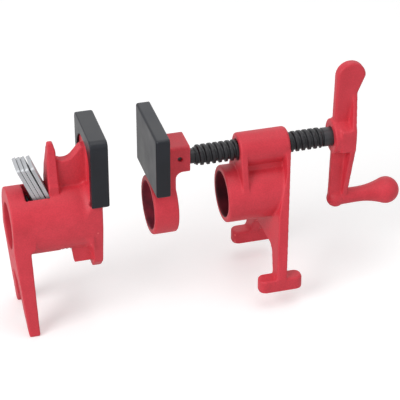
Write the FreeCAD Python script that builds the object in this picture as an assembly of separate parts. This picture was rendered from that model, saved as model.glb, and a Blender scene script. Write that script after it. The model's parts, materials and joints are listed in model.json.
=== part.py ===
import FreeCAD, Part
import math
import os

# A woodworking pipe clamp: a screw head and a tail stop that share one pipe axis.
# X runs along the pipe from the tail stop to the crank, Z is up and -Y is the near side.
# The origin is the centre of the mouth of the head's pipe bore. Lengths are in millimetres.

os.makedirs("parts", exist_ok=True)

V = FreeCAD.Vector
X_AXIS = V(1, 0, 0)
Y_AXIS = V(0, 1, 0)
Z_AXIS = V(0, 0, 1)

# Pipe, screw axis and clearances
PIPE_R = 13.35
PIPE_THREAD_GAP = 0.1
PIPE_SLIDING_GAP = 0.25
HEAD_BORE_R = PIPE_R + PIPE_THREAD_GAP
TAIL_BORE_R = PIPE_R + PIPE_SLIDING_GAP
SCREW_Z = 28.7
RUNNING_GAP = 0.05
LOOSE_GAP = 0.3
OVERRUN = 5.0
TOUCH_SHARE = 0.0001
TOUCH = TOUCH_SHARE * PIPE_R

# Head casting
TUBE_R = 17.0
BOSS_R = 9.85
BOSS_X0 = 8.5
BOSS_X1 = 38.8
BOSS_ROUND = 2.0
RIB_T = 4.0
WEB_HALF = 5.0
PLATE_FOOT_FRONT_X = 24.6
PLATE_FOOT_REAR_X = 30.8
PLATE_BEND_X = 28.7
PLATE_BEND_Z = -8.0
PLATE_NECK_X = 35.5
PLATE_NECK_Z = 16.0
PLATE_TOP_REAR_X = BOSS_X1
PLATE_FOOT_Z = -45.0
LEG_OUTER_Y = 32.5
LEG_INNER_Y = 22.9
ARCH_TOP_Z = -31.0
ARCH_SHOULDER_Y = 15.5
ARCH_SHOULDER_ROUND = 7.0
FOOT_X0 = 14.6
FOOT_X1 = 40.8
FOOT_Z0 = -52.8
FOOT_Z1 = -44.7
FOOT_ROUND = 4.0
FOOT_EDGE_ROUND = 1.2
TUBE_LIP_ROUND = 1.0

# Screw, modelled at the crest of its thread
SCREW_R = 6.15
SCREW_THREAD_X0 = -15.0
SCREW_THREAD_X1 = 60.5
SHANK_R = 5.6
TIP_R = 4.4
TIP_X = -33.0
TIP_CHAMFER = 0.8
THREAD_CHAMFER = 1.0
GROOVE_R = 2.7
GROOVE_SIDE_GAP = 0.2
NUT_R = SCREW_R + RUNNING_GAP

# Retaining pin across the front jaw's block
RETAINER_R = 1.5
RETAINER_X = -27.6
RETAINER_Z = SCREW_Z + GROOVE_R + RETAINER_R + RUNNING_GAP
RETAINER_RECESS = 2.0

# Front jaw
JAW_FACE_X = -45.0
PAD_T = 8.2
PAD_WALL = 3.2
PAD_SIDE_WALL = 2.0
PAD_HALF = 23.8
PAD_Z0 = 17.9
PAD_Z1 = 55.1
PAD_ROUND = 1.2
PAD_CORNER = 1.5
BLOCK_HALF = 9.7
BLOCK_Z0 = 24.4
BLOCK_Z1 = 40.7
BLOCK_X1 = -21.5
BLOCK_ROUND = 2.0
SOCKET_X = TIP_X - LOOSE_GAP
NECK_X1 = -30.0
NECK_FILLET = 4.0
RING_R = 17.5
RING_BORE_R = 14.2
RING_X0 = -44.4
RING_X1 = -30.0
RING_ROUND = 1.0
BACKING_GAP = 0.05

# Crank handle; its arm lies in the plane Y = 0, and heights count from the screw's axis
COLLAR_X0 = 66.0
COLLAR_R = 10.4
COLLAR_ROUND = 0.8
HUB_X0 = 69.5
HUB_X1 = 78.7
HUB_HALF_T = 10.4
HUB_HALF_H = 10.2
HUB_FACE_HALF_H = 6.7
SOCKET_END_X = 75.0
WEB_T = 4.0
ARM_LEFT_INSET = 1.0
ARM_BEND_V = 10.0
ARM_NECK_X = 80.5
ARM_NECK_V = 27.5
ARM_NECK_ROUND = 6.0
ARM_EDGE_ROUND = 1.2
PADDLE_X = 76.5
PADDLE_V = 38.6
PADDLE_R = 8.6
PADDLE_T = 6.0
RIM_TOP_W = 2.7
RIM_LOW_W = 3.3
RIM_NECK_HALF_T = 3.0
RIM_LOW_HALF_T = 3.4
LOWER_LEFT_X = 66.0
LOWER_BEND_X = 78.0
LOWER_BEND_V = -12.0
LOWER_RIGHT_X = 76.5
KNUCKLE_X = 70.7
KNUCKLE_V = -43.2
KNUCKLE_R = 5.4
GRIP_V = -42.8
GRIP_NECK_X = 84.0
GRIP_NECK_R = 4.65
GRIP_ROOT_R = 4.9
GRIP_KNOB_X = 102.5
GRIP_KNOB_R = 8.15
PIN_R = 1.6
PIN_X = 70.5
PIN_DEPTH_SHARE = 0.75

# Tail casting
TAIL_X0 = -126.5
TAIL_BODY_X1 = -78.0
TAIL_R = 18.2
TAIL_RISE = 4.8
END_WALL_T = 6.0
CAVITY_R = 16.0
CAVITY_RISE = 2.0
CAVITY_X1 = -89.2
SLOT_X0 = -117.0
SLOT_HALF = 9.4
SLOT_Z0 = 8.0
NOTCH_X0 = -98.5
NOTCH_X1 = -92.5
NOTCH_LOW_X1 = -91.0
NOTCH_Z = -13.0
BOTTOM_SLOT_X0 = -116.0
BOTTOM_SLOT_HALF = 7.0
KNOB_BOSS_X0 = -93.0
KNOB_BOSS_HALF = 11.0
KNOB_BOSS_Z0 = -24.5
FINGER_X0 = -103.4
FINGER_X1 = -97.4
FINGER_TAPER_Z = 34.0
FINGER_SHOULDER_Z = 45.5
FINGER_TOP_X0 = -101.8
FINGER_TOP_X1 = -98.7
FINGER_TOP_Z = 50.7
FINGER_TOP_HALF = 1.6
FINGER_NECK_HALF = 3.4
FINGER_NECK_Z = 32.5
FINGER_HALF = 8.6
FINGER_FOOT_Z = 26.0
FINGER_EDGE_ROUND = 1.0
TAIL_WEB_HALF = 3.2
TAIL_WEB_LOW_X = -92.6
TAIL_WEB_LOW_Z = 35.6
TAIL_WEB_FINGER_Z = 40.5
TAIL_WEB_PLATE_X = -83.4
TAIL_WEB_PLATE_Z = 46.6
TAIL_WEB_ROUND = 6.5
FLANGE_X0 = -80.2
FLANGE_X1 = -74.8
FLANGE_HALF = 18.1
FLANGE_Z1 = 53.4
FLANGE_WAIST_Z = -1.0
FLANGE_LOW_HALF = 14.6
FLANGE_LOW_Z = -24.0
FLANGE_FOOT_HALF = 8.0
FLANGE_Z0 = -30.8
FLANGE_CORNER = 4.0
FLARE_R = 6.0
LEG_TOP_Z = -8.0
LEG_TOP_T = 9.7
LEG_CHAMFER = 3.0
LEG_CHAMFER_Z = -10.0
LEG_BOTTOM_X0 = -121.2
LEG_BOTTOM_X1 = -115.0
LEG_BOTTOM_Z = -64.4
LEG_TOP_HALF = 18.2
LEG_BOTTOM_HALF = 22.3
LEG_BEVEL_Z = -54.5
LEG_BOTTOM_INNER = 17.0
LEG_INNER_HALF = 10.4
LEG_ARCH_HALF = 7.5
LEG_ARCH_Z = -32.5
LEG_ARCH_ROUND = 6.5

# Tail pad
TAIL_PAD_X0 = -81.7
TAIL_PAD_X1 = -71.3
TAIL_PAD_HALF = 20.8
TAIL_PAD_Z0 = 15.5
TAIL_PAD_Z1 = 57.4
TAIL_PAD_CORNER = 4.0
TAIL_PAD_ROUND = 1.0
TAIL_PAD_WINDOW_HALF = 15.6
TAIL_PAD_WINDOW_Z1 = 49.5
TAIL_PAD_WINDOW_ROUND = 12.0

# Clutch plates, pivoting at the top slot; the rows give place along the pipe and lean
PLATE_T = 2.0
PLATE_PIVOT_Z = 21.0
PLATE_PIVOT_X = (-112.15, -109.75, -107.35, -104.5)
PLATE_LEAN = (23.0, 22.8, 22.6, 21.8)
PLATE_RING_R = 15.3
PLATE_HOLE_R = 13.85
PLATE_TONGUE_HALF = 7.9
PLATE_TONGUE_TOP = 41.2
PLATE_TONGUE_ROUND = 1.5
PLATE_TAB_HALF = 6.2
PLATE_TAB_LENGTH = 21.6
PLATE_TAB_ROUND = 2.0

# Clutch spring
SPRING_WIRE = 1.6
SPRING_MEAN_R = 14.9
SPRING_TURNS = 3.5
SPRING_PITCH_TOP = 2.45
SPRING_PITCH_BOTTOM = 5.75
SPRING_LEAST_GAP = 0.4
STEPS_PER_TURN = 4


def cylinder_x(radius, x0, x1, z=0.0, y=0.0):
    """A round bar along the pipe direction."""
    return Part.makeCylinder(radius, x1 - x0, V(x0, y, z), X_AXIS)


def cylinder_y(radius, y0, y1, x, z):
    """A round bar across the pipe direction."""
    return Part.makeCylinder(radius, y1 - y0, V(x, y0, z), Y_AXIS)


def block(x0, x1, y0, y1, z0, z1):
    """A box between six planes."""
    return Part.makeBox(x1 - x0, y1 - y0, z1 - z0, V(x0, y0, z0))


def corner_arc(before, corner, after, radius):
    """Start, middle and end of the arc that rounds one corner of an outline."""
    a = (before - corner).normalize()
    b = (after - corner).normalize()
    half = math.acos(max(-1.0, min(1.0, a.dot(b)))) / 2
    reach = radius / math.tan(half)
    bisector = (a + b).normalize()
    middle = corner + bisector * (radius / math.sin(half) - radius)
    return corner + a * reach, middle, corner + b * reach


def outline_face(corners, place):
    """A flat face from corners (a, b) or (a, b, radius); place maps (a, b) to a point."""
    points = [place(c[0], c[1]) for c in corners]
    radii = [c[2] if len(c) > 2 else 0.0 for c in corners]
    count = len(points)
    stretches = []
    for i in range(count):
        if radii[i] > 0:
            stretches.append(corner_arc(points[i - 1], points[i], points[(i + 1) % count], radii[i]))
        else:
            stretches.append((points[i],))
    edges = []
    for i in range(count):
        here = stretches[i]
        there = stretches[(i + 1) % count]
        if len(here) == 3:
            edges.append(Part.Arc(here[0], here[1], here[2]).toShape())
        if here[-1].distanceToPoint(there[0]) > TOUCH:
            edges.append(Part.LineSegment(here[-1], there[0]).toShape())
    return Part.Face(Part.Wire(edges))


def side_profile(corners, y0, y1):
    """A solid with an outline in X and Z, between two planes of Y."""
    return outline_face(corners, lambda a, b: V(a, y0, b)).extrude(V(0, y1 - y0, 0))


def front_profile(corners, x0, x1):
    """A solid with an outline in Y and Z, between two planes of X."""
    return outline_face(corners, lambda a, b: V(x0, a, b)).extrude(V(x1 - x0, 0, 0))


def plan_profile(corners, z0, z1):
    """A solid with an outline in X and Y, between two planes of Z."""
    return outline_face(corners, lambda a, b: V(a, b, z0)).extrude(V(0, 0, z1 - z0))


def mirrored(half):
    """A full outline from the corners of its +Y half, listed from the top down."""
    other = [(-c[0],) + tuple(c[1:]) for c in reversed(half)]
    return list(half) + other


def revolve_x(corners, axis_z):
    """A turned solid about a line along X from corners (x, radius) with optional roundings."""
    face = outline_face(corners, lambda a, b: V(a, 0, axis_z + b))
    return face.revolve(V(0, 0, axis_z), X_AXIS, 360)


def joined(shapes):
    """One solid from shapes that touch or overlap."""
    result = shapes[0]
    for shape in shapes[1:]:
        result = result.fuse(shape)
    return result.removeSplitter()


def rounded_box(x0, x1, y0, y1, z0, z1, upright_radius):
    """A box with its four upright edges rounded."""
    r = upright_radius
    return plan_profile([(x0, y0, r), (x1, y0, r), (x1, y1, r), (x0, y1, r)], z0, z1)


def head_rear_limit():
    """The space in front of the raked plate's rear face."""
    slope = (PLATE_TOP_REAR_X - PLATE_FOOT_REAR_X) / (SCREW_Z - PLATE_FOOT_Z)
    top_z = SCREW_Z + BOSS_R + OVERRUN
    low_z = FOOT_Z0 - OVERRUN
    far_x = -OVERRUN
    return side_profile(
        [
            (far_x, low_z),
            (PLATE_FOOT_REAR_X + slope * (low_z - PLATE_FOOT_Z), low_z),
            (PLATE_TOP_REAR_X, SCREW_Z),
            (PLATE_TOP_REAR_X, top_z),
            (far_x, top_z),
        ],
        -LEG_OUTER_Y - OVERRUN,
        LEG_OUTER_Y + OVERRUN,
    )


def head_rib():
    """The front rib whose sides are tangent to the tube and to the boss."""
    turn = math.asin((TUBE_R - BOSS_R) / SCREW_Z)
    low = (TUBE_R * math.cos(turn), TUBE_R * math.sin(turn))
    high = (BOSS_R * math.cos(turn), SCREW_Z + BOSS_R * math.sin(turn))
    return front_profile(
        [(high[0], high[1]), (low[0], low[1]), (-low[0], low[1]), (-high[0], high[1])],
        BOSS_X0,
        BOSS_X0 + RIB_T,
    )


def head_plate():
    """The raked plate: a side profile that is crossed with the A-shaped front outline."""
    side = side_profile(
        [
            (PLATE_FOOT_FRONT_X, PLATE_FOOT_Z),
            (PLATE_FOOT_REAR_X, PLATE_FOOT_Z),
            (PLATE_TOP_REAR_X, SCREW_Z),
            (PLATE_TOP_REAR_X, SCREW_Z + BOSS_R + OVERRUN),
            (PLATE_NECK_X, SCREW_Z + BOSS_R + OVERRUN),
            (PLATE_NECK_X, PLATE_NECK_Z, TUBE_R),
            (PLATE_BEND_X, PLATE_BEND_Z, TUBE_R),
        ],
        -LEG_OUTER_Y - OVERRUN,
        LEG_OUTER_Y + OVERRUN,
    )
    half = [
        (BOSS_R, SCREW_Z),
        (LEG_OUTER_Y, PLATE_FOOT_Z),
        (LEG_INNER_Y, PLATE_FOOT_Z),
        (ARCH_SHOULDER_Y, ARCH_TOP_Z, ARCH_SHOULDER_ROUND),
    ]
    outline = front_profile(mirrored(half), 0, FOOT_X1 + OVERRUN)
    cap = revolve_x([(0, 0), (BOSS_X1, 0), (BOSS_X1, BOSS_R, BOSS_ROUND), (0, BOSS_R)], SCREW_Z)
    return side.common(outline.fuse(cap))


def head_foot(side):
    """One bar-shaped foot; side is 1 or -1."""
    inner = side * LEG_INNER_Y
    outer = side * LEG_OUTER_Y
    bar = rounded_box(FOOT_X0, FOOT_X1, min(inner, outer), max(inner, outer), FOOT_Z0, FOOT_Z1, FOOT_ROUND)
    top_edges = [edge for edge in bar.Edges if edge.BoundBox.ZMin > FOOT_Z1 - TOUCH]
    return bar.makeFillet(FOOT_EDGE_ROUND, top_edges)


def head_casting():
    """The head: tube, boss, rib, web, raked plate and feet, bored for the pipe and the screw."""
    limit = head_rear_limit()
    tube = revolve_x(
        [(0, 0), (FOOT_X1, 0), (FOOT_X1, TUBE_R), (0, TUBE_R, TUBE_LIP_ROUND)],
        0,
    ).common(limit)
    boss = revolve_x(
        [(BOSS_X0, 0), (BOSS_X1, 0), (BOSS_X1, BOSS_R, BOSS_ROUND), (BOSS_X0, BOSS_R, TUBE_LIP_ROUND)],
        SCREW_Z,
    )
    web = block(BOSS_X0, FOOT_X1, -WEB_HALF, WEB_HALF, 0, SCREW_Z).common(limit)
    body = joined([tube, head_rib(), boss, web, head_plate(), head_foot(1), head_foot(-1)])
    pipe_hole = cylinder_x(HEAD_BORE_R, -OVERRUN, FOOT_X1 + OVERRUN)
    screw_hole = cylinder_x(NUT_R, 0, FOOT_X1 + OVERRUN, SCREW_Z)
    return body.cut(pipe_hole).cut(screw_hole)


def clamp_screw():
    """The screw at its crest size, with its grooved tip and the shank inside the crank."""
    groove_x0 = RETAINER_X - RETAINER_R - GROOVE_SIDE_GAP
    groove_x1 = RETAINER_X + RETAINER_R + GROOVE_SIDE_GAP
    corners = [
        (TIP_X, 0),
        (TIP_X, TIP_R - TIP_CHAMFER),
        (TIP_X + TIP_CHAMFER, TIP_R),
        (groove_x0, TIP_R),
        (groove_x0, GROOVE_R),
        (groove_x1, GROOVE_R),
        (groove_x1, TIP_R),
        (SCREW_THREAD_X0, TIP_R),
        (SCREW_THREAD_X0, SCREW_R - THREAD_CHAMFER),
        (SCREW_THREAD_X0 + THREAD_CHAMFER, SCREW_R),
        (SCREW_THREAD_X1 - THREAD_CHAMFER, SCREW_R),
        (SCREW_THREAD_X1, SCREW_R - THREAD_CHAMFER),
        (SCREW_THREAD_X1, SHANK_R),
        (SOCKET_END_X, SHANK_R),
        (SOCKET_END_X, 0),
    ]
    kept = [corners[0]]
    for corner in corners[1:]:
        if corner != kept[-1]:
            kept.append(corner)
    shaft = revolve_x(kept, SCREW_Z)
    return shaft.cut(crank_pin_space())


def crank_pin_space():
    """The room of the blind pin that enters the crank from its far face."""
    depth = PIN_DEPTH_SHARE * (HUB_HALF_T + SHANK_R)
    return Part.makeCylinder(PIN_R, depth, V(PIN_X, HUB_HALF_T - depth, SCREW_Z), Y_AXIS)


def handle_pin():
    """The spring pin through the crank's hub into the screw, flush with the far face."""
    return crank_pin_space()


def crank_paddle_arm():
    """The upper arm, a flat web that ends in a thicker round paddle, with rounded edges."""
    paddle_z = SCREW_Z + PADDLE_V
    left_x = COLLAR_X0 + ARM_LEFT_INSET
    arm = side_profile(
        [
            (left_x, SCREW_Z),
            (HUB_X1, SCREW_Z),
            (HUB_X1, SCREW_Z + ARM_BEND_V),
            (ARM_NECK_X, SCREW_Z + ARM_NECK_V, ARM_NECK_ROUND),
            (PADDLE_X + PADDLE_R, paddle_z),
            (PADDLE_X + PADDLE_R, paddle_z + PADDLE_R, PADDLE_R),
            (PADDLE_X - PADDLE_R, paddle_z + PADDLE_R, PADDLE_R),
        ],
        -PADDLE_T / 2,
        PADDLE_T / 2,
    )
    on_a_face = [e for e in arm.Edges if e.BoundBox.YLength < TOUCH and e.BoundBox.ZMax > SCREW_Z + TOUCH]
    return arm.makeFillet(ARM_EDGE_ROUND, on_a_face)


def crank_lower_web():
    """The web of the lower arm, from the hub to the knuckle."""
    left_x = COLLAR_X0 + ARM_LEFT_INSET
    low_z = SCREW_Z + GRIP_V
    return side_profile(
        [
            (left_x, SCREW_Z),
            (LOWER_LEFT_X, low_z),
            (LOWER_RIGHT_X, low_z),
            (HUB_X1, SCREW_Z),
        ],
        -WEB_T / 2,
        WEB_T / 2,
    )


def crank_rim():
    """The thick outer rim of the arm, widest at the hub and tapering to both ends."""
    neck_z = SCREW_Z + ARM_NECK_V
    bend_z = SCREW_Z + ARM_BEND_V
    low_bend_z = SCREW_Z + LOWER_BEND_V
    low_z = SCREW_Z + GRIP_V
    outline = side_profile(
        [
            (ARM_NECK_X - RIM_TOP_W, neck_z),
            (ARM_NECK_X, neck_z),
            (HUB_X1, bend_z),
            (HUB_X1, SCREW_Z),
            (LOWER_BEND_X, low_bend_z),
            (LOWER_RIGHT_X, low_z),
            (LOWER_RIGHT_X - RIM_LOW_W, low_z),
            (LOWER_BEND_X - RIM_LOW_W, low_bend_z),
            (HUB_X1 - RIM_LOW_W, SCREW_Z),
            (HUB_X1 - RIM_TOP_W, bend_z),
        ],
        -HUB_HALF_T,
        HUB_HALF_T,
    )
    half = [
        (RIM_NECK_HALF_T, neck_z),
        (HUB_HALF_T, SCREW_Z + HUB_FACE_HALF_H),
        (HUB_HALF_T, SCREW_Z - HUB_FACE_HALF_H),
        (RIM_LOW_HALF_T, low_z),
    ]
    return outline.common(front_profile(mirrored(half), LOWER_LEFT_X, PADDLE_X + PADDLE_R))


def crank_hub():
    """The block round the screw's end, with slanted top and bottom, and its round collar."""
    half = [
        (WEB_T / 2, SCREW_Z + HUB_HALF_H),
        (HUB_HALF_T, SCREW_Z + HUB_FACE_HALF_H),
        (HUB_HALF_T, SCREW_Z - HUB_FACE_HALF_H),
        (WEB_T / 2, SCREW_Z - HUB_HALF_H),
    ]
    hub = front_profile(mirrored(half), HUB_X0, HUB_X1 - RIM_LOW_W / 2)
    collar = revolve_x(
        [
            (COLLAR_X0, 0),
            (HUB_X0 + RIM_LOW_W, 0),
            (HUB_X0 + RIM_LOW_W, COLLAR_R),
            (COLLAR_X0, COLLAR_R, COLLAR_ROUND),
        ],
        SCREW_Z,
    )
    return [hub, collar]


def crank_grip():
    """The grip along X, whose neck flares into a round knob, and the knuckle below the arm."""
    axis_z = SCREW_Z + GRIP_V
    reach = GRIP_KNOB_X - GRIP_NECK_X
    flare_r = (reach ** 2 + GRIP_NECK_R ** 2 - GRIP_KNOB_R ** 2) / (2 * (GRIP_KNOB_R - GRIP_NECK_R))
    turn = math.asin(reach / (flare_r + GRIP_KNOB_R))
    root = V(KNUCKLE_X, 0, axis_z)
    knuckle_centre = V(KNUCKLE_X, 0, SCREW_Z + KNUCKLE_V)
    start = V(KNUCKLE_X, 0, axis_z + GRIP_ROOT_R)
    neck = V(GRIP_NECK_X, 0, axis_z + GRIP_NECK_R)
    bend = neck + V(flare_r * math.sin(turn / 2), 0, flare_r * (1 - math.cos(turn / 2)))
    meet = V(GRIP_KNOB_X - GRIP_KNOB_R * math.sin(turn), 0, axis_z + GRIP_KNOB_R * math.cos(turn))
    middle = V(meet.x, 0, axis_z)
    edges = [
        Part.LineSegment(start, neck).toShape(),
        Part.Arc(neck, bend, meet).toShape(),
        Part.LineSegment(meet, middle).toShape(),
        Part.LineSegment(middle, root).toShape(),
        Part.LineSegment(root, start).toShape(),
    ]
    grip = Part.Face(Part.Wire(edges)).revolve(V(0, 0, axis_z), X_AXIS, 360)
    knob = Part.makeSphere(GRIP_KNOB_R, V(GRIP_KNOB_X, 0, axis_z))
    knuckle = Part.makeSphere(KNUCKLE_R, knuckle_centre)
    return [grip, knob, knuckle]


def crank_handle():
    """The crank casting: hub, collar, webbed arm with its rim, paddle, knuckle and grip."""
    pieces = [crank_paddle_arm(), crank_lower_web(), crank_rim()] + crank_hub() + crank_grip()
    socket = cylinder_x(SHANK_R, COLLAR_X0 - OVERRUN, SOCKET_END_X, SCREW_Z)
    return joined(pieces).cut(socket).cut(crank_pin_space())


def front_jaw():
    """The sliding jaw: backing plate, block for the screw's tip, neck and the ring on the pipe."""
    inside_x = JAW_FACE_X + PAD_WALL + BACKING_GAP
    back_x = JAW_FACE_X + PAD_T
    plate_half = PAD_HALF - PAD_SIDE_WALL - BACKING_GAP
    plate = block(
        inside_x,
        back_x,
        -plate_half,
        plate_half,
        PAD_Z0 + PAD_SIDE_WALL + BACKING_GAP,
        PAD_Z1 - PAD_SIDE_WALL - BACKING_GAP,
    )
    tip_block = front_profile(
        [
            (BLOCK_HALF, BLOCK_Z1, BLOCK_ROUND),
            (BLOCK_HALF, BLOCK_Z0),
            (-BLOCK_HALF, BLOCK_Z0),
            (-BLOCK_HALF, BLOCK_Z1, BLOCK_ROUND),
        ],
        inside_x,
        BLOCK_X1,
    )
    neck = side_profile(
        [
            (back_x, 0),
            (NECK_X1, 0),
            (NECK_X1, BLOCK_Z0, NECK_FILLET),
            (BLOCK_X1, BLOCK_Z0),
            (BLOCK_X1, BLOCK_Z0 + BLOCK_ROUND),
            (back_x, BLOCK_Z0 + BLOCK_ROUND),
        ],
        -BLOCK_HALF,
        BLOCK_HALF,
    )
    ring = revolve_x(
        [(RING_X0, 0), (RING_X1, 0), (RING_X1, RING_R, RING_ROUND), (RING_X0, RING_R, RING_ROUND)],
        0,
    )
    body = joined([plate, tip_block, neck, ring])
    pipe_room = cylinder_x(RING_BORE_R, RING_X0 - OVERRUN, RING_X1 + OVERRUN)
    socket = cylinder_x(TIP_R + RUNNING_GAP, SOCKET_X, BLOCK_X1 + OVERRUN, SCREW_Z)
    pin_hole = cylinder_y(RETAINER_R, -BLOCK_HALF - OVERRUN, BLOCK_HALF + OVERRUN, RETAINER_X, RETAINER_Z)
    return body.cut(pipe_room).cut(socket).cut(pin_hole)


def jaw_retaining_pin():
    """The cross pin that runs in the groove of the screw's tip."""
    reach = BLOCK_HALF - RETAINER_RECESS
    return cylinder_y(RETAINER_R, -reach, reach, RETAINER_X, RETAINER_Z)


def front_jaw_pad():
    """The plastic cap that slips over the front jaw's backing plate."""
    outer = front_profile(
        [
            (PAD_HALF, PAD_Z0, PAD_CORNER),
            (PAD_HALF, PAD_Z1, PAD_CORNER),
            (-PAD_HALF, PAD_Z1, PAD_CORNER),
            (-PAD_HALF, PAD_Z0, PAD_CORNER),
        ],
        JAW_FACE_X,
        JAW_FACE_X + PAD_T,
    )
    front_edges = [e for e in outer.Edges if e.BoundBox.XMax < JAW_FACE_X + PAD_WALL]
    outer = outer.makeFillet(PAD_ROUND, front_edges)
    inner_half = PAD_HALF - PAD_SIDE_WALL
    pocket = block(
        JAW_FACE_X + PAD_WALL,
        JAW_FACE_X + PAD_T + OVERRUN,
        -inner_half,
        inner_half,
        PAD_Z0 + PAD_SIDE_WALL,
        PAD_Z1 - PAD_SIDE_WALL,
    )
    ring_room = cylinder_x(RING_R + LOOSE_GAP, JAW_FACE_X - OVERRUN, NECK_X1)
    return outer.cut(pocket).cut(ring_room)


def stadium_x(radius, rise, x0, x1):
    """A bar along the pipe direction whose section is a circle drawn upwards by a rise."""
    low = cylinder_x(radius, x0, x1)
    high = cylinder_x(radius, x0, x1, rise)
    between = block(x0, x1, -radius, radius, 0, rise)
    return joined([low, high, between])


def tail_legs():
    """The end wall's two legs: a side profile crossed with the front outline."""
    top_x1 = TAIL_X0 + LEG_TOP_T
    side = side_profile(
        [
            (TAIL_X0, 0),
            (TAIL_X0, LEG_TOP_Z),
            (LEG_BOTTOM_X0, LEG_BOTTOM_Z),
            (LEG_BOTTOM_X1, LEG_BOTTOM_Z),
            (top_x1, LEG_CHAMFER_Z),
            (top_x1 + LEG_CHAMFER, LEG_CHAMFER_Z + LEG_CHAMFER),
            (top_x1 + LEG_CHAMFER, 0),
        ],
        -LEG_BOTTOM_HALF - OVERRUN,
        LEG_BOTTOM_HALF + OVERRUN,
    )
    half = [
        (LEG_TOP_HALF, 0),
        (LEG_BOTTOM_HALF, LEG_BOTTOM_Z, FOOT_EDGE_ROUND),
        (LEG_BOTTOM_INNER, LEG_BOTTOM_Z, FOOT_EDGE_ROUND),
        (LEG_INNER_HALF, LEG_BEVEL_Z),
        (LEG_ARCH_HALF, LEG_ARCH_Z, LEG_ARCH_ROUND),
    ]
    front = front_profile(mirrored(half), TAIL_X0 - OVERRUN, top_x1 + OVERRUN + OVERRUN)
    return side.common(front)


def tail_flange():
    """The jaw plate that stands up from the body's right end and reaches below it."""
    half = [
        (FLANGE_HALF, FLANGE_Z1, FLANGE_CORNER),
        (FLANGE_HALF, FLANGE_WAIST_Z, FLANGE_HALF),
        (FLANGE_LOW_HALF, FLANGE_LOW_Z, FLANGE_CORNER),
        (FLANGE_FOOT_HALF, FLANGE_Z0, FLANGE_CORNER),
    ]
    return front_profile(mirrored(half), FLANGE_X0, FLANGE_X1)


def tail_flare():
    """The concave flare between the body and the jaw plate."""
    start_x = FLANGE_X0 - FLARE_R
    middle = math.sin(math.pi / 4)
    shapes = []
    for axis_z in (0, TAIL_RISE):
        low = V(start_x, 0, axis_z + TAIL_R)
        high = V(FLANGE_X0, 0, axis_z + TAIL_R + FLARE_R)
        bend = V(start_x + FLARE_R * middle, 0, axis_z + TAIL_R + FLARE_R * (1 - middle))
        foot = V(FLANGE_X0, 0, axis_z)
        root = V(start_x, 0, axis_z)
        edges = [
            Part.Arc(low, bend, high).toShape(),
            Part.LineSegment(high, foot).toShape(),
            Part.LineSegment(foot, root).toShape(),
            Part.LineSegment(root, low).toShape(),
        ]
        shapes.append(Part.Face(Part.Wire(edges)).revolve(V(0, 0, axis_z), X_AXIS, 360))
    half_width = FLANGE_HALF + FLARE_R
    keep = block(start_x, FLANGE_X0, -FLANGE_HALF, FLANGE_HALF, -half_width, half_width)
    return [shape.common(keep) for shape in shapes]


def tail_finger():
    """The wall that the clutch tongues are squeezed against: broad foot, narrow gabled top."""
    side = side_profile(
        [
            (FINGER_X0, 0),
            (FINGER_X0, FINGER_TAPER_Z),
            (FINGER_TOP_X0, FINGER_TOP_Z, FINGER_EDGE_ROUND),
            (FINGER_TOP_X1, FINGER_TOP_Z, FINGER_EDGE_ROUND),
            (FINGER_X1, FINGER_SHOULDER_Z),
            (FINGER_X1, 0),
        ],
        -FINGER_HALF,
        FINGER_HALF,
    )
    half = [
        (FINGER_TOP_HALF, FINGER_TOP_Z, FINGER_EDGE_ROUND),
        (FINGER_NECK_HALF, FINGER_SHOULDER_Z),
        (FINGER_NECK_HALF, FINGER_NECK_Z, FINGER_NECK_HALF),
        (FINGER_HALF, FINGER_FOOT_Z, FINGER_EDGE_ROUND),
        (FINGER_HALF, 0),
    ]
    return side.common(front_profile(mirrored(half), FINGER_X0, FINGER_X1))


def tail_web():
    """The thin web from the finger wall to the jaw plate, with its hollow top edge."""
    return side_profile(
        [
            (FINGER_X1 - RIB_T, 0),
            (FLANGE_X0 + RIB_T, 0),
            (FLANGE_X0 + RIB_T, TAIL_WEB_PLATE_Z),
            (TAIL_WEB_PLATE_X, TAIL_WEB_PLATE_Z),
            (TAIL_WEB_LOW_X, TAIL_WEB_LOW_Z, TAIL_WEB_ROUND),
            (FINGER_X1, TAIL_WEB_FINGER_Z),
            (FINGER_X1 - RIB_T, TAIL_WEB_FINGER_Z),
        ],
        -TAIL_WEB_HALF,
        TAIL_WEB_HALF,
    )


def tail_boss():
    """The boss under the body, whose two cheeks stand beside the last plate's tab."""
    return side_profile(
        [
            (KNOB_BOSS_X0 - RIB_T, 0),
            (KNOB_BOSS_X0 - RIB_T, KNOB_BOSS_Z0),
            (FLANGE_X0 + RIB_T / 2, KNOB_BOSS_Z0),
            (FLANGE_X0 + RIB_T / 2, 0),
        ],
        -KNOB_BOSS_HALF,
        KNOB_BOSS_HALF,
    )


def lean_offset(z):
    """How far the last plate's centre plane stands right of its pivot at a height."""
    return (PLATE_PIVOT_Z - z) * math.tan(math.radians(PLATE_LEAN[-1]))


def last_plate_face_x(z):
    """The place of the last plate's right face at a height, when the plates lean."""
    half_along = PLATE_T / 2 / math.cos(math.radians(PLATE_LEAN[-1]))
    return PLATE_PIVOT_X[-1] + lean_offset(z) + half_along


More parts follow.
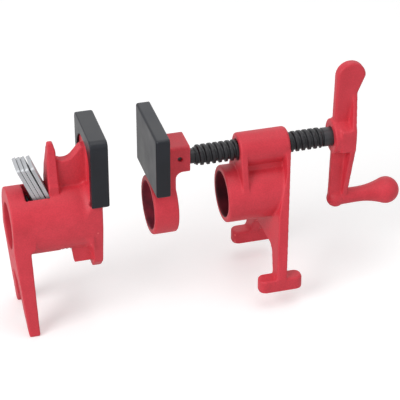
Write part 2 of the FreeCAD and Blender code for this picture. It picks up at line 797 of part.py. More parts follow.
def plate_room():
    """The room of the plates: top slot, cavity, bottom notch and bottom slot."""
    top_z = TAIL_R + TAIL_RISE + OVERRUN
    low_z = KNOB_BOSS_Z0 - OVERRUN
    cavity = stadium_x(CAVITY_R, CAVITY_RISE, TAIL_X0 + END_WALL_T, CAVITY_X1)
    slot = side_profile(
        [
            (SLOT_X0, SLOT_Z0),
            (last_plate_face_x(SLOT_Z0) + LOOSE_GAP, SLOT_Z0),
            (last_plate_face_x(PLATE_PIVOT_Z) + LOOSE_GAP, PLATE_PIVOT_Z),
            (FINGER_X0, PLATE_PIVOT_Z + RUNNING_GAP),
            (FINGER_X0, top_z),
            (SLOT_X0, top_z),
        ],
        -SLOT_HALF,
        SLOT_HALF,
    )
    notch = side_profile(
        [
            (NOTCH_X0, NOTCH_Z),
            (NOTCH_X1, NOTCH_Z),
            (NOTCH_LOW_X1, KNOB_BOSS_Z0),
            (NOTCH_LOW_X1, low_z),
            (NOTCH_X0, low_z),
        ],
        -TAIL_R - OVERRUN,
        TAIL_R + OVERRUN,
    )
    bottom_slot = side_profile(
        [
            (BOTTOM_SLOT_X0, 0),
            (last_plate_face_x(0) + LOOSE_GAP, 0),
            (last_plate_face_x(low_z) + LOOSE_GAP, low_z),
            (BOTTOM_SLOT_X0, low_z),
        ],
        -BOTTOM_SLOT_HALF,
        BOTTOM_SLOT_HALF,
    )
    return [cavity, slot, notch, bottom_slot]


def tail_pad_lip_room():
    """The room that the pad's back lip needs beside the casting."""
    lip = front_profile(
        [
            (TAIL_PAD_HALF + OVERRUN, TAIL_PAD_Z0 - LOOSE_GAP),
            (TAIL_PAD_HALF + OVERRUN, TAIL_PAD_Z1 + OVERRUN),
            (-TAIL_PAD_HALF - OVERRUN, TAIL_PAD_Z1 + OVERRUN),
            (-TAIL_PAD_HALF - OVERRUN, TAIL_PAD_Z0 - LOOSE_GAP),
        ],
        TAIL_PAD_X0 - LOOSE_GAP,
        FLANGE_X0,
    )
    return lip.cut(tail_pad_window(-LOOSE_GAP))


def tail_pad_window(grow):
    """The opening in the back of the tail pad, grown or shrunk on all sides."""
    half_width = TAIL_PAD_WINDOW_HALF + grow
    top_z = TAIL_PAD_WINDOW_Z1 + grow
    half = [
        (half_width, top_z, TAIL_PAD_WINDOW_ROUND),
        (half_width, 0),
    ]
    return front_profile(mirrored(half), TAIL_PAD_X0 - OVERRUN, FLANGE_X0 + RUNNING_GAP)


def tail_casting():
    """The tail stop: body, legs, finger wall, web, jaw plate and boss, opened for the clutch."""
    body = stadium_x(TAIL_R, TAIL_RISE, TAIL_X0, TAIL_BODY_X1)
    flare = [shape.cut(tail_pad_lip_room()) for shape in tail_flare()]
    pieces = [body, tail_legs(), tail_boss(), tail_finger(), tail_web(), tail_flange()] + flare
    casting = joined(pieces)
    for room in plate_room():
        casting = casting.cut(room)
    return casting.cut(cylinder_x(TAIL_BORE_R, TAIL_X0 - OVERRUN, FLANGE_X1 + OVERRUN))


def tail_jaw_pad():
    """The plastic cap that slides down over the tail's jaw plate, open behind for the web."""
    outer = front_profile(
        [
            (TAIL_PAD_HALF, TAIL_PAD_Z0, TAIL_PAD_ROUND),
            (TAIL_PAD_HALF, TAIL_PAD_Z1, TAIL_PAD_CORNER),
            (-TAIL_PAD_HALF, TAIL_PAD_Z1, TAIL_PAD_CORNER),
            (-TAIL_PAD_HALF, TAIL_PAD_Z0, TAIL_PAD_ROUND),
        ],
        TAIL_PAD_X0,
        TAIL_PAD_X1,
    )
    front_edges = [e for e in outer.Edges if e.BoundBox.XMin > FLANGE_X1]
    outer = outer.makeFillet(TAIL_PAD_ROUND, front_edges)
    inner_half = FLANGE_HALF + RUNNING_GAP
    half = [
        (inner_half, FLANGE_Z1 + RUNNING_GAP, FLANGE_CORNER),
        (inner_half, 0),
    ]
    pocket = front_profile(mirrored(half), FLANGE_X0 - RUNNING_GAP, FLANGE_X1 + RUNNING_GAP)
    return outer.cut(pocket).cut(tail_pad_window(0))


def clutch_plate(index):
    """One locking plate: a tongue, a ring round the pipe and a tab, leaning in its slot."""
    half = [
        (PLATE_TONGUE_HALF, PLATE_TONGUE_TOP, PLATE_TONGUE_ROUND),
        (PLATE_TONGUE_HALF, 0),
    ]
    start_x = -PLATE_T / 2
    tongue = front_profile(mirrored(half), start_x, -start_x)
    ring = cylinder_x(PLATE_RING_R, start_x, -start_x)
    tab = front_profile(
        [
            (PLATE_TAB_HALF, 0),
            (-PLATE_TAB_HALF, 0),
            (-PLATE_TAB_HALF, -PLATE_TAB_LENGTH, PLATE_TAB_ROUND),
            (PLATE_TAB_HALF, -PLATE_TAB_LENGTH, PLATE_TAB_ROUND),
        ],
        start_x,
        -start_x,
    )
    plate = joined([ring, tongue, tab]).cut(cylinder_x(PLATE_HOLE_R, start_x - OVERRUN, OVERRUN))
    plate.rotate(V(0, 0, PLATE_PIVOT_Z), Y_AXIS, -PLATE_LEAN[index])
    plate.translate(V(PLATE_PIVOT_X[index], 0, 0))
    return plate


def spring_point(turns):
    """A point of the spring's centre line, and its direction, after a number of turns."""
    angle = 2 * math.pi * turns
    mean_pitch = (SPRING_PITCH_BOTTOM + SPRING_PITCH_TOP) / 2
    swing = (SPRING_PITCH_BOTTOM - SPRING_PITCH_TOP) / 2
    pitch = mean_pitch - swing * math.cos(angle)
    start_x = TAIL_X0 + END_WALL_T + SPRING_WIRE / 2 + LOOSE_GAP
    point = V(start_x + turns * pitch, SPRING_MEAN_R * math.sin(angle), SPRING_MEAN_R * math.cos(angle))
    slope = pitch / (2 * math.pi) + turns * swing * math.sin(angle)
    direction = V(slope, SPRING_MEAN_R * math.cos(angle), -SPRING_MEAN_R * math.sin(angle))
    return point, direction.normalize()


def tangent_arc(start, direction, end):
    """The arc from a point in a direction to another point."""
    chord = end - start
    along = V(chord).normalize()
    side = direction - along * direction.dot(along)
    side.normalize()
    half = math.acos(max(-1.0, min(1.0, direction.dot(along))))
    middle = start + chord * 0.5 + side * (chord.Length / 2 * math.tan(half / 2))
    return Part.Arc(start, middle, end).toShape()


def biarc(start, start_direction, end, end_direction):
    """Two arcs that meet smoothly between two points with set directions."""
    v = end - start
    t = start_direction + end_direction
    spread = 2 * (1 - start_direction.dot(end_direction))
    reach = (-v.dot(t) + math.sqrt(v.dot(t) ** 2 + spread * v.dot(v))) / spread
    joint = (start + end + (start_direction - end_direction) * reach) * 0.5
    first = tangent_arc(start, start_direction, joint)
    backwards = tangent_arc(end, end_direction * -1, joint)
    second = Part.Edge(backwards)
    second.reverse()
    return [first, second]


def clutch_spring():
    """The wound spring round the pipe, from the end wall to the leaning first plate."""
    count = int(SPRING_TURNS * STEPS_PER_TURN)
    edges = []
    for i in range(count):
        start, start_direction = spring_point(i / STEPS_PER_TURN)
        end, end_direction = spring_point((i + 1) / STEPS_PER_TURN)
        edges += biarc(start, start_direction, end, end_direction)
    start, start_direction = spring_point(0)
    section = Part.Wire([Part.makeCircle(SPRING_WIRE / 2, start, start_direction)])
    return Part.Wire(edges).makePipeShell([section], True, False)


def spring_least_gap():
    """The least gap between turns of the spring, measured on points of its centre line."""
    per_turn = 48
    points = [spring_point(i / per_turn)[0] for i in range(int(SPRING_TURNS * per_turn) + 1)]
    least = SPRING_MEAN_R
    for i, point in enumerate(points):
        for other in points[i + per_turn // 2:]:
            least = min(least, point.distanceToPoint(other) - SPRING_WIRE)
    return least


shapes = {
    "head_casting": head_casting(),
    "clamp_screw": clamp_screw(),
    "crank_handle": crank_handle(),
    "handle_pin": handle_pin(),
    "front_jaw": front_jaw(),
    "front_jaw_pad": front_jaw_pad(),
    "jaw_retaining_pin": jaw_retaining_pin(),
    "tail_casting": tail_casting(),
    "tail_jaw_pad": tail_jaw_pad(),
    "clutch_spring": clutch_spring(),
}
for index in range(len(PLATE_PIVOT_X)):
    shapes["clutch_plate_%d" % (index + 1)] = clutch_plate(index)

for name, shape in shapes.items():
    shape.exportStep("parts/%s.step" % name)
    solids = len(shape.Solids)
    print("%s: solids %d, valid %s, volume %.1f" % (name, solids, shape.isValid(), shape.Volume))
gap = spring_least_gap()
print("spring: least gap %.2f, wanted over %.2f" % (gap, SPRING_LEAST_GAP))
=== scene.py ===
import json
import math

import bmesh
import bpy
from mathutils import Matrix, Vector


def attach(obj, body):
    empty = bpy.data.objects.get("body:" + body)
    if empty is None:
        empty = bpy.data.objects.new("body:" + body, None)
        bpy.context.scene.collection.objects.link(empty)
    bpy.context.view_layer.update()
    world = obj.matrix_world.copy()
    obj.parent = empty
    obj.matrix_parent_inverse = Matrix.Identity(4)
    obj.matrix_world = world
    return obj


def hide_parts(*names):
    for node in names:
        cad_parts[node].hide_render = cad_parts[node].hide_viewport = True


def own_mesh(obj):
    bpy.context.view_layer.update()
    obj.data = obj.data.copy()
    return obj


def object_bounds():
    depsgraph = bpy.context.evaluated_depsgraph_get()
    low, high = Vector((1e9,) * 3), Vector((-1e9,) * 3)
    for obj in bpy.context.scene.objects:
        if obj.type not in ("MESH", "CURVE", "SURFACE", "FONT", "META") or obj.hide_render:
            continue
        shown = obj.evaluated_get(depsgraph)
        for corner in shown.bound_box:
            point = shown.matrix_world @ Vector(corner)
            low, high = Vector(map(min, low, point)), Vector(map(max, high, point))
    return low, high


# A pipe clamp: a screw head on the right and a tail stop on the left, both in red painted
# castings, with a black screw, black plastic jaw pads and grey steel clutch plates.
# Lengths are in metres and angles in degrees, unless a comment says otherwise.

MM = 0.001

# Camera, fitted to the photograph, which is 400 pixels wide and high
CAMERA_TURN = 15.71
CAMERA_RISE = 31.94
CAMERA_RIGHT = -12.73 * MM
CAMERA_UP = -3.58 * MM
CAMERA_BACK = 1025.7 * MM
CAMERA_REACH = 20.0
FRAME_PIXELS = 400
FOCAL_PIXELS = 1757
SENSOR = 36.0

# Screw, along X: the tip with its groove, the thread and the shank
SCREW_Z = 28.7 * MM
TIP_X = -33.0 * MM
TIP_R = 4.4 * MM
TIP_CHAMFER = 0.8 * MM
GROOVE_X0 = -29.3 * MM
GROOVE_X1 = -25.9 * MM
GROOVE_R = 2.7 * MM
THREAD_X0 = -17.0 * MM
THREAD_X1 = 60.5 * MM
THREAD_PITCH = 3.6 * MM
CREST_R = 6.13 * MM
ROOT_R = 4.95 * MM
SHANK_R = 5.6 * MM
SHANK_X1 = 75.0 * MM

# Thread: the shares of a pitch that are crest and flank, and the length over which it runs
# out at its ends, down to a share of its height
CREST_SHARE = 0.40
FLANK_SHARE = 0.17
THREAD_RUNOUT = 1.8 * MM
RUNOUT_SHARE = 0.15

# Screw skin: its rings of points, the half width of a step in its radius, and the angle
# from which an edge stays sharp
RINGS_PER_PITCH = 20
POINTS_ROUND = 72
STEP_HALF = 0.02 * MM
SHARP_FROM = 50

# Skins of castings and pads: the voxel, how often and how much they are smoothed, and the
# share of their faces that is kept
CAST_VOXEL = 0.45 * MM
CAST_SMOOTHING = 10
PAD_VOXEL = 0.35 * MM
PAD_SMOOTHING = 12
SMOOTHING_SHARE = 0.5
KEEP_SHARE = 0.35

# What the skin of a casting adds to its solid, as boxes listed upwards in millimetres:
# (z, x0, x1, half width). In the tail stop it is the finger wall's straight flanks.
CAST_FILLS = {
    "tail_casting": [
        (20.0, -103.3, -97.5, 8.6),
        (24.0, -103.3, -97.5, 8.3),
        (34.0, -103.3, -97.5, 5.9),
        (45.3, -102.2, -97.5, 3.2),
    ],
}

# Pipe bores, whose walls get painted shade: their radii, how far the painted shade reaches
# beyond the wall, and how much brighter the painted shade in the front jaw's ring is than in the
# head
HEAD_BORE_R = 13.45 * MM
JAW_RING_R = 14.2 * MM
BORE_SHADE_EDGE = 0.6 * MM
RING_SHADE_BRIGHTNESS = 2.5

# Colours
RED_DEEP = (0.62, 0.036, 0.056)
RED_BRIGHT = (0.71, 0.048, 0.072)
RED_WORN = (0.80, 0.12, 0.13)
# Painted shade on the walls of the pipe bores, standing in for the shade inside them
BORE_SHADE_DEEP = (0.060, 0.006, 0.012)
BORE_SHADE_BRIGHT = (0.16, 0.010, 0.022)
SPECK_DARK = (0.80, 0.80, 0.80)
SPECK_LIGHT = (1.0, 1.0, 1.0)
STEEL_BLACK = (0.012, 0.012, 0.014)
STEEL_GREY = (0.024, 0.024, 0.028)
STEEL_WORN = (0.10, 0.10, 0.11)
PLASTIC_BLACK = (0.006, 0.007, 0.011)
PLASTIC_GREY = (0.010, 0.012, 0.018)
PLATE_DARK = (0.16, 0.165, 0.178)
PLATE_LIGHT = (0.29, 0.30, 0.315)
PLATE_WORN = (0.50, 0.51, 0.53)
PIN_DARK = (0.16, 0.16, 0.17)
PIN_LIGHT = (0.26, 0.26, 0.27)

# Nearly all of a noise lies between these two factors
NOISE_LOW = 0.3
NOISE_HIGH = 0.7

# The sockets of a Mix node that mixes colours
MIX_FACTOR = 0
MIX_FIRST = 6
MIX_SECOND = 7
MIX_RESULT = 2

# Studio: the floor, the sky as light and as background, and the lamps as name, place, side
# of the square and power in watts
FLOOR_HALF = 4.0
FLOOR_COLOUR = (0.85, 0.85, 0.85, 1.0)
FLOOR_GLOW = 0.32
WHITE = (1.0, 1.0, 1.0, 1.0)
SKY_AS_LIGHT = 0.30
SKY_AS_BACKGROUND = 1.0
LAMPS = (
    ("key", (-1.10, -0.60, 0.75), 0.8, 12.5),
    ("top", (0.10, -0.10, 1.50), 1.2, 7.0),
    ("fill", (0.90, -0.90, 0.50), 1.0, 2.0),
    ("back", (0.30, 1.00, 0.90), 1.0, 2.0),
)


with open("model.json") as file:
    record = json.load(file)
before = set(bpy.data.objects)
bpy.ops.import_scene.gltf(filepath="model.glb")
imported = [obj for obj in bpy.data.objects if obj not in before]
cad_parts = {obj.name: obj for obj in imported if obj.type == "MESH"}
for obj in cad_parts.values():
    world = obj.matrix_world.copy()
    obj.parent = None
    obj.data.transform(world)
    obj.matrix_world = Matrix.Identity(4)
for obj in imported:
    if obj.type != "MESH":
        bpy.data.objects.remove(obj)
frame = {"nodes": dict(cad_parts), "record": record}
cad_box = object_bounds()


def new_material(name):
    """A new material with its nodes, its links and its shader."""
    material = bpy.data.materials.new(name)
    material.use_nodes = True
    nodes = material.node_tree.nodes
    return material, nodes, material.node_tree.links, nodes["Principled BSDF"]


def object_coordinates(nodes):
    """The place on the object in metres, which turns with it."""
    return nodes.new("ShaderNodeTexCoord").outputs["Object"]


def noise(nodes, links, place, scale, detail=2.0, roughness=0.5):
    """The factor of a noise with so many cells per metre."""
    node = nodes.new("ShaderNodeTexNoise")
    node.inputs["Scale"].default_value = scale
    node.inputs["Detail"].default_value = detail
    node.inputs["Roughness"].default_value = roughness
    links.new(place, node.inputs["Vector"])
    return node.outputs["Fac"]


def colour_ramp(nodes, links, factor, first, second, start=NOISE_LOW, end=NOISE_HIGH):
    """A colour that goes from first to second as the factor goes from start to end."""
    ramp = nodes.new("ShaderNodeValToRGB")
    elements = ramp.color_ramp.elements
    for element, place, colour in zip(elements, (start, end), (first, second)):
        element.position = place
        element.color = (*colour, 1.0)
    links.new(factor, ramp.inputs["Fac"])
    return ramp.outputs["Color"]


def mapped(nodes, links, value, start, end, low=0.0, high=1.0):
    """A number that goes from low to high as the value goes from start to end."""
    node = nodes.new("ShaderNodeMapRange")
    node.inputs["From Min"].default_value = start
    node.inputs["From Max"].default_value = end
    node.inputs["To Min"].default_value = low
    node.inputs["To Max"].default_value = high
    links.new(value, node.inputs["Value"])
    return node.outputs["Result"]


def varied(nodes, links, factor, low, high):
    """A number that a noise's factor moves between low and high."""
    return mapped(nodes, links, factor, NOISE_LOW, NOISE_HIGH, low, high)


def math_node(nodes, links, operation, first, second):
    """The result of a Math node; first is a socket, and second is a socket or a number."""
    node = nodes.new("ShaderNodeMath")
    node.operation = operation
    links.new(first, node.inputs[0])
    if isinstance(second, float):
        node.inputs[1].default_value = second
    else:
        links.new(second, node.inputs[1])
    return node.outputs["Value"]


def bump(nodes, links, height, distance, strength, normal=None):
    """A bump from a height of 0 to 1 and a depth, on top of another bump if one is given."""
    node = nodes.new("ShaderNodeBump")
    node.inputs["Strength"].default_value = strength
    node.inputs["Distance"].default_value = distance
    links.new(height, node.inputs["Height"])
    if normal is not None:
        links.new(normal, node.inputs["Normal"])
    return node.outputs["Normal"]


def edge_wear(nodes, links, start, end):
    """A factor that rises on convex edges, as their pointiness goes from start to end."""
    geometry = nodes.new("ShaderNodeNewGeometry")
    return mapped(nodes, links, geometry.outputs["Pointiness"], start, end)


def mix_colour(nodes, links, factor, first, second, blend="MIX"):
    """A mix of two colours.

    The factor is a socket or a number, and each colour is a socket or a triple."""
    node = nodes.new("ShaderNodeMix")
    node.data_type = "RGBA"
    node.blend_type = blend
    for socket, colour in ((node.inputs[MIX_FIRST], first), (node.inputs[MIX_SECOND], second)):
        if isinstance(colour, tuple):
            socket.default_value = (*colour, 1.0)
        else:
            links.new(colour, socket)
    if isinstance(factor, float):
        node.inputs[MIX_FACTOR].default_value = factor
    else:
        links.new(factor, node.inputs[MIX_FACTOR])
    return node.outputs[MIX_RESULT]


def distance_from_pipe_axis(nodes, links, place):
    """How far a place on the object lies from the pipe's axis, which is X."""
    across = nodes.new("ShaderNodeVectorMath")
    across.operation = "MULTIPLY"
    across.inputs[1].default_value = (0.0, 1.0, 1.0)
    links.new(place, across.inputs[0])
    length = nodes.new("ShaderNodeVectorMath")
    length.operation = "LENGTH"
    links.new(across.outputs["Vector"], length.inputs[0])
    return length.outputs["Value"]


def bore_shade_mask(nodes, links, place, bore_r):
    """A mask for painted shade: 1 on the wall of a pipe bore and 0 outside it."""
    distance = distance_from_pipe_axis(nodes, links, place)
    return mapped(nodes, links, distance, bore_r + BORE_SHADE_EDGE, bore_r + BORE_SHADE_EDGE / 2)


def red_paint(name, bore_r=0.0, shade_brightness=1.0):
    """Red enamel on sand-cast iron: orange peel, slight mottle and paler worn edges.

    With a bore's radius, that bore's wall gets painted shade, a dark mottled red that stands in
    for the shade inside the bore; its brightness is the head's painted shade times the last
    argument."""
    material, nodes, links, shader = new_material(name)
    place = object_coordinates(nodes)
    mottle = noise(nodes, links, place, scale=90.0, detail=4.0, roughness=0.55)
    base = colour_ramp(nodes, links, mottle, RED_DEEP, RED_BRIGHT)
    grain = noise(nodes, links, place, scale=1400.0)
    speck = colour_ramp(nodes, links, grain, SPECK_DARK, SPECK_LIGHT, start=0.35, end=0.65)
    specked = mix_colour(nodes, links, 0.6, base, speck, blend="MULTIPLY")
    edges = edge_wear(nodes, links, start=0.53, end=0.62)
    colour = mix_colour(nodes, links, edges, specked, RED_WORN)
    # Painted shade on the bore's wall: a dark mottled red that stands in for the shade inside
    # the bore
    if bore_r:
        deep = tuple(shade_brightness * part for part in BORE_SHADE_DEEP)
        bright = tuple(shade_brightness * part for part in BORE_SHADE_BRIGHT)
        thin = colour_ramp(nodes, links, mottle, deep, bright, start=0.35)
        wall = bore_shade_mask(nodes, links, place, bore_r)
        colour = mix_colour(nodes, links, wall, colour, thin)
    links.new(colour, shader.inputs["Base Color"])
    shader.inputs["Specular IOR Level"].default_value = 0.35
    links.new(varied(nodes, links, mottle, low=0.42, high=0.54), shader.inputs["Roughness"])
    peel = noise(nodes, links, place, scale=900.0)
    coarse = noise(nodes, links, place, scale=260.0)
    sand = bump(nodes, links, coarse, distance=0.10 * MM, strength=0.6)
    skin = bump(nodes, links, peel, distance=0.08 * MM, strength=0.9, normal=sand)
    links.new(skin, shader.inputs["Normal"])
    return material


def black_steel():
    """Blackened steel with an oily sheen and faint tool marks."""
    material, nodes, links, shader = new_material("black_steel")
    place = object_coordinates(nodes)
    cloud = noise(nodes, links, place, scale=220.0, detail=4.0, roughness=0.6)
    base = colour_ramp(nodes, links, cloud, STEEL_BLACK, STEEL_GREY)
    edges = edge_wear(nodes, links, start=0.54, end=0.66)
    links.new(mix_colour(nodes, links, edges, base, STEEL_WORN), shader.inputs["Base Color"])
    shader.inputs["Metallic"].default_value = 0.2
    shader.inputs["Specular IOR Level"].default_value = 0.4
    links.new(varied(nodes, links, cloud, low=0.30, high=0.42), shader.inputs["Roughness"])
    marks = noise(nodes, links, place, scale=1600.0)
    skin = bump(nodes, links, marks, distance=0.03 * MM, strength=0.5)
    links.new(skin, shader.inputs["Normal"])
    return material


def black_plastic():
    """Moulded black plastic, smooth with a soft gloss and a faint flow mottle."""
    material, nodes, links, shader = new_material("black_plastic")
    place = object_coordinates(nodes)
    cloud = noise(nodes, links, place, scale=70.0, detail=3.0)
    base = colour_ramp(nodes, links, cloud, PLASTIC_BLACK, PLASTIC_GREY)
    links.new(base, shader.inputs["Base Color"])
    shader.inputs["Specular IOR Level"].default_value = 0.36
    links.new(varied(nodes, links, cloud, low=0.30, high=0.40), shader.inputs["Roughness"])
    fine = noise(nodes, links, place, scale=1200.0)
    skin = bump(nodes, links, fine, distance=0.02 * MM, strength=0.4)
    links.new(skin, shader.inputs["Normal"])
    return material


def plate_steel():
    """Galvanised steel: grey with spangles, and fine scratches along the plate."""
    material, nodes, links, shader = new_material("plate_steel")
    place = object_coordinates(nodes)
    spangle = nodes.new("ShaderNodeTexVoronoi")
    spangle.inputs["Scale"].default_value = 450.0
    links.new(place, spangle.inputs["Vector"])
    grey = nodes.new("ShaderNodeRGBToBW")
    links.new(spangle.outputs["Color"], grey.inputs["Color"])
    shade = grey.outputs["Val"]
    base = colour_ramp(nodes, links, shade, PLATE_DARK, PLATE_LIGHT, start=0.2, end=0.8)
    edges = edge_wear(nodes, links, start=0.52, end=0.60)
    links.new(mix_colour(nodes, links, edges, base, PLATE_WORN), shader.inputs["Base Color"])
    shader.inputs["Metallic"].default_value = 0.6
    links.new(varied(nodes, links, shade, low=0.42, high=0.56), shader.inputs["Roughness"])
    stretch = nodes.new("ShaderNodeMapping")
    stretch.inputs["Scale"].default_value = (4.0, 4.0, 0.3)
    links.new(place, stretch.inputs["Vector"])
    along = stretch.outputs["Vector"]
    scratch = noise(nodes, links, along, scale=700.0, detail=3.0, roughness=0.6)
    skin = bump(nodes, links, scratch, distance=0.03 * MM, strength=0.5)
    links.new(skin, shader.inputs["Normal"])
    return material


def pin_steel():
    """Dull spring steel for the handle's pin."""
    material, nodes, links, shader = new_material("pin_steel")
    place = object_coordinates(nodes)
    cloud = noise(nodes, links, place, scale=600.0, detail=3.0)
    links.new(colour_ramp(nodes, links, cloud, PIN_DARK, PIN_LIGHT), shader.inputs["Base Color"])
    shader.inputs["Metallic"].default_value = 0.9
    links.new(varied(nodes, links, cloud, low=0.35, high=0.5), shader.inputs["Roughness"])
    return material


# The finish of each of the record's material slots, and of the nodes whose bore gets painted
# shade
SLOT_MATERIALS = {
    "red_paint": red_paint("red_paint"),
    "black_steel": black_steel(),
    "black_plastic": black_plastic(),
    "plate_steel": plate_steel(),
    "pin_steel": pin_steel(),
}
NODE_MATERIALS = {
    "head_casting": red_paint("red_paint_head_casting", HEAD_BORE_R),
    "front_jaw": red_paint("red_paint_front_jaw", JAW_RING_R, RING_SHADE_BRIGHTNESS),
}


def slot_of(node):
    """The record's material slot of a node."""
    for part in frame["record"]["subparts"]:
        if part["node"] == node:
            return part["material_slot"]
    raise ValueError(node)


def body_of(node):
    """The body that a node belongs to."""
    for body, members in frame["record"]["behaviour"]["bodies"].items():
        if node in members:
            return body
    raise ValueError(node)


def give_material(piece, node):
    """The piece shows the finish of its node all over."""
    piece.data.materials.clear()
    piece.data.materials.append(NODE_MATERIALS.get(node, SLOT_MATERIALS[slot_of(node)]))


def stand_in(node, piece):
    """The piece takes the place, the body and the finish of a node."""
    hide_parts(node)
    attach(piece, body_of(node))
    give_material(piece, node)


def placed(name, data):
    """A new object in the scene, made of a mesh, a lamp or a camera."""
    piece = bpy.data.objects.new(name, data)
    bpy.context.scene.collection.objects.link(piece)
    return piece


def shade_round(mesh):
    """All faces of the mesh are shaded round."""
    mesh.polygons.foreach_set("use_smooth", [True] * len(mesh.polygons))


def keep_corners_sharp(mesh, limit_degrees):
    """Edges from the limit on stay sharp on a mesh that is shaded round."""
    limit = math.radians(limit_degrees)
    grid = bmesh.new()
    grid.from_mesh(mesh)
    for edge in grid.edges:
        edge.smooth = len(edge.link_faces) == 2 and edge.calc_face_angle() < limit
    grid.to_mesh(mesh)
    grid.free()


def applied(piece, name):
    """A new object whose mesh is the piece's with its modifiers applied."""
    graph = bpy.context.evaluated_depsgraph_get()
    mesh = bpy.data.meshes.new_from_object(piece.evaluated_get(graph))
    mesh.name = name
    result = placed(name, mesh)
    bpy.data.objects.remove(piece)
    return result


def add_stack(mesh, stations):
    """Adds a closed block to a mesh, through the boxes of CAST_FILLS."""
    grid = bmesh.new()
    grid.from_mesh(mesh)
    rings = []
    for z, x0, x1, half in stations:
        corners = ((x0, -half), (x1, -half), (x1, half), (x0, half))
        rings.append([grid.verts.new((x * MM, y * MM, z * MM)) for x, y in corners])
    faces = [grid.faces.new(list(reversed(rings[0]))), grid.faces.new(rings[-1])]
    for low, high in zip(rings, rings[1:]):
        faces += side_faces(grid, low, high)
    bmesh.ops.recalc_face_normals(grid, faces=faces)
    grid.to_mesh(mesh)
    grid.free()


def side_faces(grid, first, second):
    """The faces between two rings with the same number of points."""
    count = len(first)
    faces = []
    for i in range(count):
        j = (i + 1) % count
        faces.append(grid.faces.new((first[i], first[j], second[j], second[i])))
    return faces


def soft_skin(node, voxel, smoothing):
    """A moulded skin: the node's own shape with its edges and inner corners softened."""
    copy = placed(node + "_copy", frame["nodes"][node].data.copy())
    if node in CAST_FILLS:
        add_stack(copy.data, CAST_FILLS[node])
    voxels = copy.modifiers.new("voxels", "REMESH")
    voxels.mode = "VOXEL"
    voxels.voxel_size = voxel
    soften = copy.modifiers.new("soften", "SMOOTH")
    soften.factor = SMOOTHING_SHARE
    soften.iterations = smoothing
    thin = copy.modifiers.new("thin", "DECIMATE")
    thin.ratio = KEEP_SHARE
    skin = applied(copy, node + "_skin")
    shade_round(skin.data)
    stand_in(node, skin)


def thread_height(turns):
    """How high the thread stands, from 0 at the root to 1 at the crest, over one pitch."""
    from_crest = abs(turns % 1.0 - 0.5)
    rise = (CREST_SHARE / 2 + FLANK_SHARE - from_crest) / FLANK_SHARE
    height = min(1.0, max(0.0, rise))
    return height * height * (3 - 2 * height)


def screw_radius(x, turn):
    """The screw's radius at a place along it and a turn about it, from 0 to 1."""
    if x < THREAD_X0:
        in_groove = GROOVE_X0 < x < GROOVE_X1
        return GROOVE_R if in_groove else TIP_R - max(0.0, TIP_X + TIP_CHAMFER - x)
    if x > THREAD_X1:
        return SHANK_R
    fade = min(1.0, (x - THREAD_X0) / THREAD_RUNOUT, (THREAD_X1 - x) / THREAD_RUNOUT)
    height = thread_height((x - THREAD_X0) / THREAD_PITCH - turn)
    return ROOT_R + (CREST_R - ROOT_R) * height * max(RUNOUT_SHARE, fade)


def screw_stations():
    """The places along the screw where its skin has a ring of points."""
    step = THREAD_PITCH / RINGS_PER_PITCH
    places = [TIP_X, TIP_X + TIP_CHAMFER]
    for place in (GROOVE_X0, GROOVE_X1, THREAD_X0, THREAD_X1):
        places += [place - STEP_HALF, place + STEP_HALF]
    count = int((THREAD_X1 - THREAD_X0) / step)
    places += [THREAD_X0 + step * i for i in range(1, count)]
    places.append(SHANK_X1)
    return sorted(places)


def screw_ring(grid, x):
    """A ring of points round the screw at a place along it."""
    ring = []
    for i in range(POINTS_ROUND):
        turn = i / POINTS_ROUND
        angle = 2 * math.pi * turn
        radius = screw_radius(x, turn)
        y = radius * math.cos(angle)
        z = SCREW_Z + radius * math.sin(angle)
        ring.append(grid.verts.new((x, y, z)))
    return ring


def threaded_screw():
    """The screw with its thread cut as one skin: tip, groove, thread and shank."""
    grid = bmesh.new()
    rings = [screw_ring(grid, x) for x in screw_stations()]
    for first, second in zip(rings, rings[1:]):
        side_faces(grid, first, second)
    grid.faces.new(list(reversed(rings[0])))
    grid.faces.new(rings[-1])
    bmesh.ops.recalc_face_normals(grid, faces=grid.faces)
    mesh = bpy.data.meshes.new("threaded_screw")
    grid.to_mesh(mesh)
    grid.free()
    stand_in("clamp_screw", placed("threaded_screw", mesh))
    shade_round(mesh)
    keep_corners_sharp(mesh, SHARP_FROM)


def pressed_spring():
    """The spring's own shape, as a piece with a mesh of its own."""
    piece = placed("wound_spring", frame["nodes"]["clutch_spring"].data.copy())
    stand_in("clutch_spring", piece)
    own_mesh(piece)


def dress_nodes():
    """Every node gets its finish, which the nodes without a piece of the scene's own show."""
    for node, piece in frame["nodes"].items():
        give_material(piece, node)


def sky():
    """An even sky that is white for what sees it, and dimmer as a light."""
    world = bpy.data.worlds.new("studio")
    bpy.context.scene.world = world
    world.use_nodes = True
    nodes = world.node_tree.nodes
    links = world.node_tree.links
    background = nodes["Background"]
    background.inputs["Color"].default_value = WHITE
    rays = nodes.new("ShaderNodeLightPath").outputs
    seen = math_node(nodes, links, "MAXIMUM", rays["Is Camera Ray"], rays["Is Glossy Ray"])
    seen = math_node(nodes, links, "MAXIMUM", seen, rays["Is Transmission Ray"])
    strength = mapped(nodes, links, seen, 0.0, 1.0, SKY_AS_LIGHT, SKY_AS_BACKGROUND)
    links.new(strength, background.inputs["Strength"])


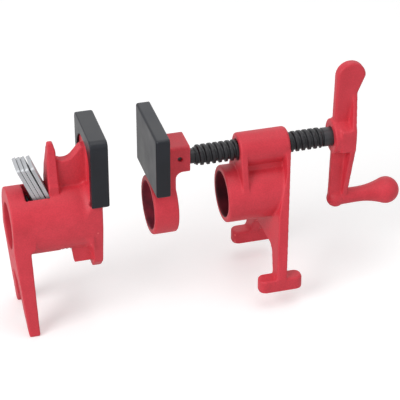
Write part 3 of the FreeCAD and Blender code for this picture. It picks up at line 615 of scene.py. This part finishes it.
def pale_floor():
    """A pale floor at the object's lowest point, which keeps its shadow."""
    low = cad_box[0][2]
    half = FLOOR_HALF
    corners = [(-half, -half, low), (half, -half, low), (half, half, low), (-half, half, low)]
    mesh = bpy.data.meshes.new("floor")
    mesh.from_pydata(corners, [], [(0, 1, 2, 3)])
    floor = placed("floor", mesh)
    material, nodes, links, shader = new_material("floor")
    shader.inputs["Base Color"].default_value = FLOOR_COLOUR
    shader.inputs["Roughness"].default_value = 0.9
    shader.inputs["Specular IOR Level"].default_value = 0.1
    shader.inputs["Emission Color"].default_value = WHITE
    camera_ray = nodes.new("ShaderNodeLightPath").outputs["Is Camera Ray"]
    glow = math_node(nodes, links, "MULTIPLY", camera_ray, FLOOR_GLOW)
    links.new(glow, shader.inputs["Emission Strength"])
    mesh.materials.append(material)


def lamp(name, place, size, power):
    """A square soft lamp that faces the object."""
    data = bpy.data.lights.new(name, "AREA")
    data.size = size
    data.energy = power
    piece = placed(name, data)
    piece.location = place
    piece.rotation_euler = Vector(place).to_track_quat("Z", "Y").to_euler()


def camera():
    """The camera at the photograph's place and field of view."""
    turn = math.radians(CAMERA_TURN)
    rise = math.radians(CAMERA_RISE)
    level = Vector((math.sin(turn), math.cos(turn), 0))
    ahead = level * math.cos(rise) - Vector((0, 0, math.sin(rise)))
    right = Vector((math.cos(turn), -math.sin(turn), 0))
    up = right.cross(ahead)
    place = right * CAMERA_RIGHT + up * CAMERA_UP - ahead * CAMERA_BACK
    data = bpy.data.cameras.new("camera")
    data.sensor_width = SENSOR
    data.lens = SENSOR * FOCAL_PIXELS / FRAME_PIXELS
    data.clip_end = CAMERA_REACH
    piece = placed("camera", data)
    piece.matrix_world = Matrix((
        (right.x, up.x, -ahead.x, place.x),
        (right.y, up.y, -ahead.y, place.y),
        (right.z, up.z, -ahead.z, place.z),
        (0, 0, 0, 1),
    ))
    bpy.context.scene.camera = piece


bpy.context.scene.view_settings.view_transform = "Standard"
camera()
dress_nodes()
for casting in ("head_casting", "front_jaw", "crank_handle", "tail_casting"):
    soft_skin(casting, CAST_VOXEL, CAST_SMOOTHING)
for pad in ("front_jaw_pad", "tail_jaw_pad"):
    soft_skin(pad, PAD_VOXEL, PAD_SMOOTHING)
threaded_screw()
pressed_spring()
sky()
pale_floor()
for name, place, size, power in LAMPS:
    lamp(name, place, size, power)
